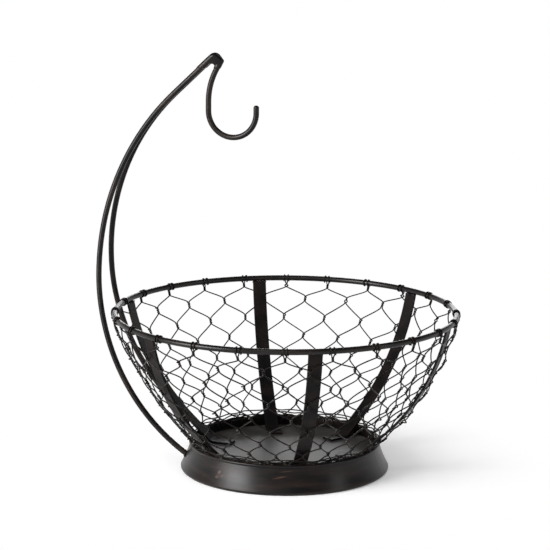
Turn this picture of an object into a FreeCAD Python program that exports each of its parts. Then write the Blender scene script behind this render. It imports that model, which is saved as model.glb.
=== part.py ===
import FreeCAD, Part

import os
from math import atan2, cos, degrees, pi, radians, sin, sqrt, tan

import Sketcher

# Fruit bowl with a banana hanger, in blackened steel
#
# A flared base ring and its floor plate carry six flat ribs. The ribs rise to a round rim ring,
# and a hexagonal wire netting lies outside them, wound round the rim at the top and tucked into
# the base ring at the bottom. Two bent rods stand on the base ring, spread apart like a wishbone,
# bow out past the rim and meet above the bowl, where a third rod turns down into a hook.
#
# The origin is the middle of the base ring, on the ground. Z is up, and the hanger is on the -X side.

V = FreeCAD.Vector
UP = V(0, 0, 1)
ORIGIN = V(0, 0, 0)
TURN = 2 * pi
# Places nearer to each other than this are one place, in millimetres
SAME = 0.001

doc = FreeCAD.newDocument("fruit_bowl")

# Driving dimensions, in millimetres and degrees

DIMENSIONS = [
    ("rod_diameter", 5.0, "round rod of the rim, the legs and the hook"),
    ("wire_size", 1.1, "netting wire"),
    ("fit_gap", 0.1, "clearance between pieces that are bound or welded together"),
    ("rim_radius", 150.0, "rim ring, to the middle of its rod"),
    ("rim_height", 140.6, "rim ring above the ground, to the middle of its rod"),
    ("base_rib_room", 7.7, "outer side of the base ring's neck beyond the ribs' outer faces"),
    ("base_foot_out", 6.0, "outer edge of the base ring on the ground beyond its neck"),
    ("base_widest_out", 8.0, "base ring at its widest beyond its neck"),
    ("base_widest_height", 2.6, "height of the widest place"),
    ("base_inner_rise", 0.5, "widest place of the inner side above that of the outer side"),
    ("base_curl_radius", 2.4, "curl of the base ring's foot"),
    ("base_flare_radius", 75.0, "hollow sweep of the base ring's side"),
    ("base_neck_height", 22.6, "height of the bead's underside"),
    ("base_wall", 1.5, "sheet of the base ring"),
    ("bead_radius", 1.5, "rolled bead on the base ring's top edge"),
    ("plate_height", 16.0, "top of the floor plate"),
    ("plate_thickness", 1.5, "sheet of the floor plate"),
    ("plate_chamfer", 0.4, "broken upper edge of the floor plate"),
    ("rib_count", 6, "ribs round the bowl"),
    ("rib_start_angle", 180.0, "angle of the first rib, under the hanger"),
    ("rib_width", 12.0, "flat strip of a rib"),
    ("rib_thickness", 2.0, "flat strip of a rib"),
    ("rib_inset", 1.0, "middle of a rib's top end inside the middle of the rim rod"),
    ("rib_top_angle", 12.0, "lean of a rib under the rim, from upright"),
    ("rib_low_angle", 48.0, "lean of a rib where its bow ends, from upright"),
    ("rib_straight", 25.86, "straight stretch of a rib between its bow and its bend"),
    ("rib_bend_radius", 8.0, "bend at a rib's foot"),
    ("rib_foot_length", 16.0, "flat foot of a rib on the floor plate"),
    ("net_columns", 24, "twists in one row of the netting"),
    ("net_start_angle", 5.3, "angle of the first column of twists"),
    ("net_rows", 8, "rows of twists between the rim and the base ring"),
    ("net_bow_radius", 200.0, "bow of the netting where it lies on the ribs"),
    ("net_top_angle", 13.0, "lean of the netting under the rim, from upright"),
    ("net_grip_angle", 5.3, "angle beside a rib within which the netting keeps that bow"),
    ("net_pull", 7.0, "most that the netting is pulled in between two ribs"),
    ("net_drop", 2.6, "start of the netting's bow below the middle of the rim rod"),
    ("twist_length", 6.5, "length of a twist"),
    ("top_twist_length", 4.0, "length of a twist in the row under the rim"),
    ("top_row_place", 4.3, "middle of the top row, along the bow"),
    ("next_row_place", 14.7, "middle of the second row, along the bow"),
    ("row_pitch", 17.8, "from row to row below the second, along the bow"),
    ("wrap_spread", 1.75, "wire's middle beside its column where it winds round the rim"),
    ("wrap_sides", 8, "flat sides of one turn of wire round the rim"),
    ("tail_bends", 3, "bends of a wire over the base ring's bead"),
    ("tail_start_angle", 60.0, "first of them round the bead, from level"),
    ("tail_step_angle", 55.0, "from one of them to the next"),
    ("net_end_height", 1.2, "wire ends above the floor plate"),
    ("hanger_room", 23.6, "legs at their furthest place beyond the middle of the rim rod"),
    ("hanger_bow_height", 172.0, "height of that place"),
    ("upper_bow_radius", 215.0, "bow of the legs above it"),
    ("upper_bow_angle", 47.0, "turn of the upper bow, up to the straight end"),
    ("tip_reach", 66.0, "end of the legs from the middle, along X"),
    ("bow_spread", 13.0, "leg beside the middle plane at the furthest place"),
    ("foot_spread", 33.5, "leg beside the middle plane at the ground"),
    ("foot_height", 7.9, "end of a leg's lower bow above the ground, before its foot is cut"),
    ("foot_sink", 3.35, "end of that bow inside the base ring's neck"),
    ("split_height", 300.0, "height where the legs part"),
    ("hook_gap", 2.5, "hook rod's end under the legs, past where it would touch them"),
    ("hook_tip_angle", 28.0, "lean of the hook rod at its end, from upright"),
    ("hook_straight", 11.0, "straight end of the hook rod"),
    ("hook_neck_radius", 59.0, "bend between that end and the shank"),
    ("hook_shank", 8.0, "upright shank above the hook's round"),
    ("hook_radius", 22.4, "round of the hook, to the middle of its rod"),
    ("hook_nose", 7.0, "straight end of the hook"),
    ("hook_end_rounding", 2.3, "rounded end of the hook"),
    ("weld_length", 8.0, "weld that fills the crotch between the legs and the hook rod"),
    ("weld_half_width", 2.0, "half the width of that weld"),
]

sheet = doc.addObject("Spreadsheet::Sheet", "dims")
for row, (alias, number, note) in enumerate(DIMENSIONS, start=1):
    sheet.set(f"A{row}", alias)
    sheet.set(f"B{row}", str(number))
    sheet.set(f"C{row}", note)
    sheet.setAlias(f"B{row}", alias)
doc.recompute()


class Size:
    """A size with its value and the formula that ties it to the sheet."""

    def __init__(self, value, formula):
        self.value = float(value)
        self.formula = formula

    def _with(self, other, value, sign):
        return Size(value, f"({self.formula} {sign} {formula_of(other)})")

    def __add__(self, other):
        return self._with(other, self.value + number_of(other), "+")

    def __sub__(self, other):
        return self._with(other, self.value - number_of(other), "-")

    def __mul__(self, other):
        return self._with(other, self.value * number_of(other), "*")

    def __truediv__(self, other):
        return self._with(other, self.value / number_of(other), "/")


def number_of(size):
    return size.value if isinstance(size, Size) else float(size)


def formula_of(size):
    return size.formula if isinstance(size, Size) else f"{float(size):.9g}"


def dim(alias):
    """The size in the sheet under this alias."""
    return Size(getattr(sheet, alias), f"dims.{alias}")


def sine(angle):
    return Size(sin(radians(angle.value)), f"sin({angle.formula})")


def cosine(angle):
    return Size(cos(radians(angle.value)), f"cos({angle.formula})")


def tangent(angle):
    return Size(tan(radians(angle.value)), f"tan({angle.formula})")


def root(size):
    return Size(sqrt(size.value), f"sqrt({size.formula})")


# Helpers for bodies and sketches


def new_body(name):
    body = doc.addObject("PartDesign::Body", name)
    body.Label = name
    return body


def sketch_on(body, name, role):
    """An empty sketch on one of the body's own origin planes."""
    plane = [f for f in body.Origin.OriginFeatures if f.Role == role][0]
    sketch = body.newObject("Sketcher::SketchObject", name)
    sketch.AttachmentSupport = [(plane, "")]
    sketch.MapMode = "FlatFace"
    return sketch


def bind(sketch, constraint, size):
    """Adds a dimension to the sketch and ties it to the sheet."""
    index = sketch.addConstraint(constraint)
    sketch.setExpression(f"Constraints[{index}]", size.formula)


def arc_between(start, end, radius, left):
    """The short arc that bulges to the left or the right of the way from start to end.

    It always runs anticlockwise, as arcs in a sketch do: from start to end if it bulges to the
    right, and otherwise from end to start.
    """
    chord = end - start
    side = V(-chord.y, chord.x, 0).normalize() * (-1 if left else 1)
    centre = start + chord * 0.5 + side * sqrt(max(radius**2 - (chord.Length / 2) ** 2, 0.0))
    first, last = (end, start) if left else (start, end)
    begin = atan2(first.y - centre.y, first.x - centre.x)
    finish = atan2(last.y - centre.y, last.x - centre.x)
    return Part.ArcOfCircle(Part.Circle(centre, UP, radius), begin, finish + (TURN if finish < begin else 0))


def draw_outline(sketch, corners, edges, closed=True):
    """Draws lines and arcs from corner to corner, with every corner and radius tied to the sheet.

    corners are (across, up) pairs of sizes. edges has one entry for each edge: None for a line,
    or (radius, "left" or "right") for an arc that bulges to that side of the way.
    """
    points = [V(across.value, up.value, 0) for across, up in corners]
    count = len(edges)
    ends = []
    for i, edge in enumerate(edges):
        start = points[i]
        end = points[(i + 1) % len(points)]
        if edge is None:
            sketch.addGeometry(Part.LineSegment(start, end), False)
        else:
            sketch.addGeometry(arc_between(start, end, edge[0].value, edge[1] == "left"), False)
        ends.append((2, 1) if edge is not None and edge[1] == "left" else (1, 2))
    for i in range(count if closed else count - 1):
        j = (i + 1) % count
        sketch.addConstraint(Sketcher.Constraint("Coincident", i, ends[i][1], j, ends[j][0]))
    for i, (across, up) in enumerate(corners):
        edge, end = (i, ends[i][0]) if i < count else (count - 1, ends[count - 1][1])
        bind(sketch, Sketcher.Constraint("DistanceX", -1, 1, edge, end, across.value), across)
        bind(sketch, Sketcher.Constraint("DistanceY", -1, 1, edge, end, up.value), up)
    for i, edge in enumerate(edges):
        if edge is not None:
            bind(sketch, Sketcher.Constraint("Radius", i, edge[0].value), edge[0])


def part_feature(name, shape):
    feature = doc.addObject("Part::Feature", name)
    feature.Label = name
    feature.Shape = shape
    feature.Placement = FreeCAD.Placement()
    return feature


rod_radius = dim("rod_diameter") / 2
half_wire = dim("wire_size") / 2

# Ribs: flat strips, bowed under the rim and bent flat on to the floor plate


def rib_outline():
    """Corners and edges of a rib's side view."""
    half = dim("rib_thickness") / 2
    low = dim("rib_low_angle")
    high = dim("rib_top_angle")
    bend = dim("rib_bend_radius")
    top = dim("rim_height") - rod_radius - dim("fit_gap") / 2
    top_radius = dim("rim_radius") - dim("rib_inset")
    foot_up = dim("plate_height") + half
    bend_up = foot_up + bend * (sine(low) * -1 + 1)
    # The bow takes up what height the bend and the straight stretch leave
    bow = (top - bend_up - dim("rib_straight") * cosine(low)) / (sine(low) - sine(high))
    centre_across = top_radius - bow * cosine(high)
    centre_up = top + bow * sine(high)
    rise = centre_up - top

    def on_top(radius):
        return (centre_across + root(radius * radius - rise * rise), top)

    def end_of_bow(radius):
        return (centre_across + radius * cosine(low), centre_up - radius * sine(low))

    bow_end = end_of_bow(bow)
    bend_start = bow_end[0] - (bow_end[1] - bend_up) * tangent(low)
    bend_end = bend_start - bend * cosine(low)
    foot_end = bend_end - dim("rib_foot_length")
    out_across = half * cosine(low)
    out_up = half * sine(low)
    corners = [
        on_top(bow + half),
        end_of_bow(bow + half),
        (bend_start + out_across, bend_up - out_up),
        (bend_end, foot_up - half),
        (foot_end, foot_up - half),
        (foot_end, foot_up + half),
        (bend_end, foot_up + half),
        (bend_start - out_across, bend_up + out_up),
        end_of_bow(bow - half),
        on_top(bow - half),
    ]
    edges = [
        (bow + half, "left"),
        None,
        (bend + half, "left"),
        None,
        None,
        None,
        (bend - half, "right"),
        None,
        (bow - half, "right"),
        None,
    ]
    return corners, edges


def rib_face_at(height, out):
    """Radius at a height on the ribs' straight stretch, at a distance out from their outer faces."""
    low = dim("rib_low_angle")
    line = rib_outline()[0][1]
    return line[0] + out / cosine(low) - (line[1] - height) * tangent(low)


def build_rib(number):
    """One rib. The first lies under the hanger, and the others follow round the bowl."""
    body = new_body(f"rib_{number}")
    side = sketch_on(body, f"rib_side_{number}", "XZ_Plane")
    corners, edges = rib_outline()
    draw_outline(side, corners, edges)
    pad = body.newObject("PartDesign::Pad", f"rib_strip_{number}")
    pad.Profile = side
    pad.SideType = "Symmetric"
    pad.setExpression("Length", "dims.rib_width")
    body.Placement = FreeCAD.Placement(ORIGIN, FreeCAD.Rotation(UP, 0))
    place = f"dims.rib_start_angle + 360 * {number - 1} / dims.rib_count"
    body.setExpression("Placement.Rotation.Angle", place)
    return body


# Base ring: spun sheet with a curled foot, a hollow flare and a solid bead on its top edge

base_neck = rib_face_at(dim("base_neck_height"), Size(0, "0")) + dim("base_rib_room")
base_widest = base_neck + dim("base_widest_out")
bead_centre_radius = base_neck - dim("base_wall") / 2
bead_rise = root(dim("bead_radius") * dim("bead_radius") - dim("base_wall") * dim("base_wall") / 4)
bead_centre_height = dim("base_neck_height") + bead_rise


def base_outline():
    """Corners and edges of the base ring's section, from its inner foot round to the start."""
    wall = dim("base_wall")
    contact = base_neck + dim("base_foot_out")
    corners = [
        (contact - wall, Size(0, "0")),
        (contact, Size(0, "0")),
        (base_widest, dim("base_widest_height")),
        (base_neck, dim("base_neck_height")),
        (bead_centre_radius, bead_centre_height + dim("bead_radius")),
        (base_neck - wall, dim("base_neck_height")),
        (base_widest - wall, dim("base_widest_height") + dim("base_inner_rise")),
    ]
    edges = [
        None,
        (dim("base_curl_radius"), "right"),
        (dim("base_flare_radius"), "left"),
        (dim("bead_radius"), "right"),
        (dim("bead_radius"), "right"),
        (dim("base_flare_radius"), "right"),
        (dim("base_curl_radius"), "left"),
    ]
    return corners, edges


def build_base_ring():
    body = new_body("base_ring")
    section = sketch_on(body, "base_section", "XZ_Plane")
    corners, edges = base_outline()
    draw_outline(section, corners, edges)
    spin = body.newObject("PartDesign::Revolution", "base_spin")
    spin.Profile = section
    spin.ReferenceAxis = (section, ["V_Axis"])
    spin.Angle = 360
    return body


# Floor plate: a disc inside the base ring


def build_floor_plate():
    body = new_body("floor_plate")
    disc = sketch_on(body, "plate_disc", "XY_Plane")
    disc.AttachmentOffset = FreeCAD.Placement(V(0, 0, 0), FreeCAD.Rotation())
    underside = dim("plate_height") - dim("plate_thickness")
    disc.setExpression("AttachmentOffset.Base.z", underside.formula)
    run = dim("base_neck_height") - dim("base_widest_height")
    share = (dim("plate_height") - dim("base_widest_height")) / run
    # The chord of the flare lies outside its hollow, so the sag of the flare is taken off as well
    sag = run * run / (dim("base_flare_radius") * 8)
    radius = base_widest - dim("base_widest_out") * share - dim("base_wall") - sag - dim("fit_gap")
    circle = disc.addGeometry(Part.Circle(ORIGIN, UP, radius.value), False)
    disc.addConstraint(Sketcher.Constraint("Coincident", circle, 3, -1, 1))
    bind(disc, Sketcher.Constraint("Radius", circle, radius.value), radius)
    pad = body.newObject("PartDesign::Pad", "plate_pad")
    pad.Profile = disc
    pad.setExpression("Length", "dims.plate_thickness")
    doc.recompute()
    edge = edge_names(body.Shape, lambda e: abs(e.CenterOfMass.z - dim("plate_height").value) < SAME)
    chamfer = body.newObject("PartDesign::Chamfer", "plate_edge")
    chamfer.Base = (pad, edge)
    chamfer.setExpression("Size", "dims.plate_chamfer")
    return body


def edge_names(shape, wanted):
    """Names of the shape's edges for which wanted is true."""
    return [f"Edge{i}" for i, edge in enumerate(shape.Edges, start=1) if wanted(edge)]


# Rim ring: one bent rod


def build_rim_ring():
    ring = doc.addObject("Part::Torus", "rim_ring")
    ring.Label = "rim_ring"
    ring.setExpression("Radius1", "dims.rim_radius")
    ring.setExpression("Radius2", rod_radius.formula)
    ring.setExpression("Placement.Base.z", "dims.rim_height")
    return ring


# Wire netting


def section_at(turn, across, up, aside, lean_out, lean_up, half_depth):
    """The wire's square section as a closed wire.

    turn is the angle of the upright plane that the section stands by, aside its middle's place
    beside that plane, and (lean_out, lean_up) the way out of the netting's skin.
    """
    out = V(cos(radians(turn)), sin(radians(turn)), 0)
    along = V(-out.y, out.x, 0)
    middle = out * across + along * aside + UP * up
    face = (out * lean_out + UP * lean_up) * half_depth
    side = along * half_wire.value
    corners = [middle - side - face, middle + side - face, middle + side + face, middle - side + face]
    return Part.makePolygon(corners + corners[:1])


def wrap_sections(turn, aside):
    """One turn of wire round the rim rod, from its hidden end to the netting's side."""
    sides = int(dim("wrap_sides").value)
    half = half_wire.value
    ring_radius = rod_radius.value + dim("fit_gap").value + half
    corner = 1 / cos(radians(180 / sides))
    rim = dim("rim_radius").value
    height = dim("rim_height").value
    step = 360 / sides
    sections = []
    below = 270.0
    sections.append(section_at(turn, rim, height - ring_radius, aside, 0, -1, half))
    while below - step / 2 > 0:
        angle = radians(below - step / 2)
        across = rim + ring_radius * corner * cos(angle)
        up = height + ring_radius * corner * sin(angle)
        sections.append(section_at(turn, across, up, aside, cos(angle), sin(angle), half * corner))
        below -= step
    return sections


def net_skin(turn, place):
    """Radius, height and lean of the netting at an angle round the bowl and a place down its bow.

    The netting lies on the ribs. Between two of them it is pulled in towards the straight way from
    one to the other, most at half its height and not at all at the rim.
    """
    bow = dim("net_bow_radius").value
    top_lean = dim("net_top_angle").value
    lean = top_lean + degrees(place / bow)
    top_radius = dim("rim_radius").value + rod_radius.value + dim("fit_gap").value + half_wire.value
    top_height = dim("rim_height").value - dim("net_drop").value
    across = top_radius - bow * (cos(radians(top_lean)) - cos(radians(lean)))
    up = top_height - bow * (sin(radians(lean)) - sin(radians(top_lean)))
    panel = 360 / dim("rib_count").value
    beside_middle = (turn - dim("rib_start_angle").value) % panel - panel / 2
    edge = cos(radians(panel / 2 - dim("net_grip_angle").value))
    hollow = max(1 - edge / cos(radians(beside_middle)), 0) / (1 - edge)
    length = dim("next_row_place").value + (dim("net_rows").value - 1) * dim("row_pitch").value
    across -= dim("net_pull").value * hollow * sin(pi * min(max(place / length, 0), 1))
    return across, up, lean


def skin_section(turn, place, aside):
    across, up, lean = net_skin(turn, place)
    return section_at(turn, across, up, aside, cos(radians(lean)), -sin(radians(lean)), half_wire.value)


def tail_sections(turn, aside):
    """The wire's last stretch, over the base ring's bead and down beside the ribs to the plate."""
    half = half_wire.value
    step = dim("tail_step_angle").value
    corner = 1 / cos(radians(step / 2))
    clear = (dim("bead_radius").value + dim("fit_gap").value + half) * corner
    sections = []
    for bend in range(int(dim("tail_bends").value)):
        angle = radians(dim("tail_start_angle").value + bend * step)
        across = bead_centre_radius.value + clear * cos(angle)
        up = bead_centre_height.value + clear * sin(angle)
        sections.append(section_at(turn, across, up, aside, cos(angle), sin(angle), half * corner))
    end_up = dim("plate_height") + dim("net_end_height")
    end_across = rib_face_at(end_up, half_wire + dim("fit_gap"))
    low = radians(dim("rib_low_angle").value)
    sections.append(section_at(turn, end_across.value, end_up.value, aside, cos(low), -sin(low), half))
    return sections


def wire_solid(turn, hand):
    """One wire, from the rim down through every row.

    It starts beside the column of twists at this angle, and swings between that column and the
    half column next to it, on the side that hand gives: 1 is anticlockwise and -1 clockwise, seen
    from above. In each twist one flat side lies in the column's own plane, where the neighbouring
    wire meets it face to face.
    """
    half = half_wire.value
    rows = int(dim("net_rows").value)
    pitch = 360 / dim("net_columns").value

    def column(row):
        """Angle of the wire's column in a row, and how far its middle lies beside it."""
        if row % 2 == 0:
            return turn, hand * half
        return turn + hand * pitch / 2, -hand * half

    wrap_aside = hand * dim("wrap_spread").value
    sections = wrap_sections(turn, wrap_aside)
    across, up, _ = net_skin(turn, 0)
    sections.append(section_at(turn, across, up, wrap_aside, 1, 0, half))
    for row in range(rows):
        if row == 0:
            middle = dim("top_row_place").value
            reach = dim("top_twist_length").value / 2
        else:
            middle = dim("next_row_place").value + (row - 1) * dim("row_pitch").value
            reach = dim("twist_length").value / 2
        at, aside = column(row)
        sections.append(skin_section(at, middle - reach, aside))
        sections.append(skin_section(at, middle + reach, aside))
    sections += tail_sections(*column(rows))
    return Part.makeLoft(sections, True, True)


def build_wire_netting():
    """Two wires start at each column of twists, one to either side."""
    columns = int(dim("net_columns").value)
    wires = []
    for column in range(columns):
        turn = dim("net_start_angle").value + 360 * column / columns
        wires += [wire_solid(turn, hand) for hand in (1, -1)]
    return part_feature("wire_netting", Part.makeCompound(wires))


# Hanger


def corner_arc(before, corner, after, share):
    """Where the arc round a corner starts and ends, and the arc itself."""
    back = before - corner
    on = after - corner
    back_way = V(back).normalize()
    on_way = V(on).normalize()
    start = corner + back_way * share
    end = corner + on_way * share
    half_angle = back_way.getAngle(on_way) / 2
    radius = share * tan(half_angle)
    bisector = (back_way + on_way).normalize()
    middle = corner + bisector * (radius / sin(half_angle) - radius)
    return start, end, Part.Arc(start, middle, end)


def bent_rod(corners, radius):
    """A round rod bent round the corners, each bend as large as its shorter run allows."""
    edges = []
    at = corners[0]
    for i in range(1, len(corners) - 1):
        before, corner, after = corners[i - 1], corners[i], corners[i + 1]
        run_in = (corner - before).Length / (1 if i == 1 else 2)
        run_out = (after - corner).Length / (1 if i == len(corners) - 2 else 2)
        start, end, arc = corner_arc(before, corner, after, min(run_in, run_out))
        if at.distanceToPoint(start) > SAME:
            edges.append(Part.LineSegment(at, start).toShape())
        edges.append(arc.toShape())
        at = end
    if at.distanceToPoint(corners[-1]) > SAME:
        edges.append(Part.LineSegment(at, corners[-1]).toShape())
    path = Part.Wire(edges)
    circle = Part.Wire(Part.makeCircle(radius, corners[0], corners[1] - corners[0]))
    return path.makePipeShell([circle], True, False)


def spread_at(height):
    """How far a leg's middle lies beside the hanger's middle plane at this height."""
    touch = rod_radius.value + dim("fit_gap").value / 2
    split = dim("split_height").value
    bow = dim("hanger_bow_height").value
    if height >= split:
        return touch
    if height >= bow:
        part = (split - height) / (split - bow)
        return touch + (dim("bow_spread").value - touch) * part
    return dim("bow_spread").value + (dim("foot_spread").value - dim("bow_spread").value) * (
        bow - height
    ) / bow


def leg_reach():
    """The legs' furthest place from the middle, along X."""
    return dim("rim_radius") + dim("hanger_room")


def leg_tip():
    """Where the legs end in the side view, on the straight line from the end of their upper bow."""
    bow = dim("upper_bow_radius")
    turn = dim("upper_bow_angle")
    across = leg_reach() - bow + bow * cosine(turn)
    up = dim("hanger_bow_height") + bow * sine(turn)
    return dim("tip_reach"), up + (across - dim("tip_reach")) / tangent(turn)


def leg_corners():
    """Corners of a leg's route in its side view, from the foot to the tip.

    They stand outside the two bows at the tangents' crossings, so that the bends between them
    follow the bows.
    """
    reach = leg_reach().value
    bow_height = dim("hanger_bow_height").value
    foot_up = dim("foot_height").value
    foot_across = sqrt((base_neck.value - dim("foot_sink").value) ** 2 - spread_at(foot_up) ** 2)
    # The lower bow is the one round stretch that joins the furthest place and the foot
    run = reach - foot_across
    drop = bow_height - foot_up
    bends = 4
    route = []
    for radius, turn, sign in (
        ((run**2 + drop**2) / (2 * run), degrees(2 * atan2(run, drop)), -1),
        (dim("upper_bow_radius").value, dim("upper_bow_angle").value, 1),
    ):
        centre = reach - radius
        step = turn / bends
        crossing = radius / cos(radians(step / 2))
        angles = [sign * step * (i + 0.5) for i in range(bends)]
        if sign < 0:
            angles.reverse()
            foot = radians(-turn)
            route.append((centre + radius * cos(foot), bow_height + radius * sin(foot)))
        for angle in angles:
            route.append(
                (centre + crossing * cos(radians(angle)), bow_height + crossing * sin(radians(angle)))
            )
    across, up = leg_tip()
    route.append((across.value, up.value))
    return route


def base_envelope():
    """The base ring with everything inside it, as one solid, to trim the legs' feet."""
    corners, edges = base_outline()
    points = [V(across.value, 0, up.value) for across, up in corners[1:4]]
    flat = [V(p.x, p.z, 0) for p in points]
    curl = arc_between(flat[0], flat[1], edges[1][0].value, False)
    flare = arc_between(flat[1], flat[2], edges[2][0].value, True)
    top = V(0, flat[2].y, 0)
    outline = Part.Wire(
        [
            Part.makeLine(ORIGIN, flat[0]),
            curl.toShape(),
            flare.toShape(),
            Part.makeLine(flat[2], top),
            Part.makeLine(top, ORIGIN),
        ]
    )
    outline.rotate(ORIGIN, V(1, 0, 0), 90)
    return Part.Face(outline).revolve(ORIGIN, UP, 360)


def build_leg(name, side):
    """A leg of the hanger. side is -1 for the leg towards -Y and 1 for the other."""
    route = [V(-across, side * spread_at(up), up) for across, up in leg_corners()]
    rod = bent_rod(route, rod_radius.value)
    return part_feature(name, rod.cut(base_envelope()))


def hook_tip():
    """Where the hook rod starts in the side view, square under the end of the legs."""
    turn = dim("upper_bow_angle")
    touch = dim("rod_diameter") + dim("fit_gap")
    under = root(touch * touch - touch * touch / 4) + dim("hook_gap")
    across, up = leg_tip()
    return across - under * cosine(turn), up - under * sine(turn)


def hook_route():
    """Corners and edges of the hook rod's middle line, from its tip to its nose."""
    lean = dim("hook_tip_angle")
    neck = dim("hook_neck_radius")
    hook = dim("hook_radius")
    tip = hook_tip()
    neck_top = (
        tip[0] + dim("hook_straight") * sine(lean),
        tip[1] - dim("hook_straight") * cosine(lean),
    )
    shank = neck_top[0] + neck * (cosine(lean) * -1 + 1)
    shank_top = neck_top[1] - neck * sine(lean)
    round_top = shank_top - dim("hook_shank")
    inner = shank - hook * 2
    corners = [
        tip,
        neck_top,
        (shank, shank_top),
        (shank, round_top),
        (shank - hook, round_top - hook),
        (inner, round_top),
        (inner, round_top + dim("hook_nose")),
    ]
    edges = [None, (neck, "left"), None, (hook, "left"), (hook, "left"), None]
    return corners, edges


def build_hook():
    body = new_body("hook_rod")
    route = sketch_on(body, "hook_route", "XZ_Plane")
    corners, edges = hook_route()
    draw_outline(route, corners, edges, closed=False)
    doc.recompute()
    section = body.newObject("Sketcher::SketchObject", "hook_section")
    section.AttachmentSupport = [(route, "Edge1")]
    section.MapMode = "NormalToEdge"
    section.MapPathParameter = 0
    circle = section.addGeometry(Part.Circle(ORIGIN, UP, rod_radius.value), False)
    section.addConstraint(Sketcher.Constraint("Coincident", circle, 3, -1, 1))
    bind(section, Sketcher.Constraint("Radius", circle, rod_radius.value), rod_radius)
    pipe = body.newObject("PartDesign::AdditivePipe", "hook_pipe")
    pipe.Profile = section
    pipe.Spine = (route, [])
    doc.recompute()
    nose = corners[-1]

    def at_nose(edge):
        middle = edge.CenterOfMass
        return abs(middle.x - nose[0].value) < SAME and abs(middle.z - nose[1].value) < SAME

    fillet = body.newObject("PartDesign::Fillet", "hook_end")
    fillet.Base = (pipe, edge_names(body.Shape, at_nose))
    fillet.setExpression("Radius", "dims.hook_end_rounding")
    body.Placement = FreeCAD.Placement(ORIGIN, FreeCAD.Rotation(UP, 180))
    return body


def build_tip_weld(legs, hook):
    """Weld metal in the crotch between the legs and the hook rod, cut to the rods it lies on."""

    def rod_end(tip, lean):
        """A rod's end and its way down from there."""
        return V(-tip[0].value, 0, tip[1].value), V(-sine(lean).value, 0, -cosine(lean).value)

    leg_end, leg_way = rod_end(leg_tip(), dim("upper_bow_angle"))
    hook_end, hook_way = rod_end(hook_tip(), dim("hook_tip_angle"))
    length = dim("weld_length").value
    deep = dim("weld_half_width").value
    outline = [leg_end, leg_end + leg_way * length, hook_end + hook_way * length, hook_end]
    block = Part.Face(Part.makePolygon([p - V(0, deep, 0) for p in outline + outline[:1]]))
    weld = block.extrude(V(0, 2 * deep, 0))
    for rod in legs + [hook]:
        weld = weld.cut(rod.Shape)
    largest = max(weld.Solids, key=lambda solid: solid.Volume)
    return part_feature("tip_weld", largest)


# The pieces

pieces = [build_base_ring(), build_floor_plate(), build_rim_ring()]
pieces += [build_rib(number) for number in range(1, int(dim("rib_count").value) + 1)]
pieces.append(build_wire_netting())
legs = [build_leg("hanger_leg_front", -1), build_leg("hanger_leg_back", 1)]
hook = build_hook()
doc.recompute()
weld = build_tip_weld(legs, hook)
pieces += legs + [hook, weld]
doc.recompute()

# Every object has to be whole before anything is written

for thing in doc.Objects:
    if any(word in thing.State for word in ("Invalid", "Error")):
        raise RuntimeError(f"{thing.Label} failed: {thing.State}")
for piece in pieces:
    if piece.Shape.isNull() or not piece.Shape.isValid():
        raise RuntimeError(f"{piece.Label} has no valid shape")

os.makedirs("parts", exist_ok=True)
for piece in pieces:
    piece.Shape.exportStep(f"parts/{piece.Label}.step")
    print(piece.Label, len(piece.Shape.Solids), "solids", round(piece.Shape.Volume / 1000, 2), "cm3")
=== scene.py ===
"""Fruit bowl with a banana hanger: its finishes, its twisted wire netting, its welds, camera and light.

Sizes are in millimetres and angles in degrees, except in the studio, whose lamps are in metres.
"""

import logging
import math
import random
from dataclasses import dataclass, field
from enum import Enum

import bpy
from mathutils import Matrix, Vector


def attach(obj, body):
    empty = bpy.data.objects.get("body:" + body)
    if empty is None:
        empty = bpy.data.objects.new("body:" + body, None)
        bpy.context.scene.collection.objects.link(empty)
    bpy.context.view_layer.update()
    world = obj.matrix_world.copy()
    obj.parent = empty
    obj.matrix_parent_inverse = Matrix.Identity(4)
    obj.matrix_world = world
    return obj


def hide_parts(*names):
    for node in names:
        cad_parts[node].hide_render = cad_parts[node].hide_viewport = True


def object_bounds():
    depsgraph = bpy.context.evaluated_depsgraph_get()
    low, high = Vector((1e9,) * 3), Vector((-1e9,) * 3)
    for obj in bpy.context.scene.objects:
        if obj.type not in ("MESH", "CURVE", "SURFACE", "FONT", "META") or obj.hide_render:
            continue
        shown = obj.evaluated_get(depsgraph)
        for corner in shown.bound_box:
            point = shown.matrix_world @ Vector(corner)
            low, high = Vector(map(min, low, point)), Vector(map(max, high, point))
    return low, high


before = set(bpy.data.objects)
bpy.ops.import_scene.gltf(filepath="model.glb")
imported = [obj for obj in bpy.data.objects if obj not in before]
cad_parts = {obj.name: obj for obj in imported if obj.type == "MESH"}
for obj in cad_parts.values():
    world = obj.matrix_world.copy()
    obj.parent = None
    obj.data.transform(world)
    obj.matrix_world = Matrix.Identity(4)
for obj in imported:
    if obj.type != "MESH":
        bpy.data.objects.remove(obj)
CAD_BOX = [list(corner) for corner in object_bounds()]

LOG = logging.getLogger("fruit_bowl")
MM = 0.001
UP = Vector((0, 0, 1))
PATCH_DETAIL = 4.0
SPECK_DETAIL = 3.0

Colour = tuple[float, float, float]
Span = tuple[float, float]
Place = tuple[float, float, float]
Piece = bpy.types.Object
Finish = bpy.types.Material
Socket = bpy.types.NodeSocket


class Hand(Enum):
    """The way in which a netting wire runs down round the bowl, seen from outside."""

    RIGHTWARD = 1
    LEFTWARD = -1


class Grain(Enum):
    """How the surface of a steel piece was worked."""

    DRAWN = "drawn"
    SPUN = "spun"
    ROLLED = "rolled"


# Small helpers


def ring_axes(turn: float) -> tuple[Vector, Vector]:
    """The level directions outward and to the right, seen from outside, at an angle round the bowl."""
    outward = Vector((math.cos(math.radians(turn)), math.sin(math.radians(turn)), 0))
    return outward, Vector((-outward.y, outward.x, 0))


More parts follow.
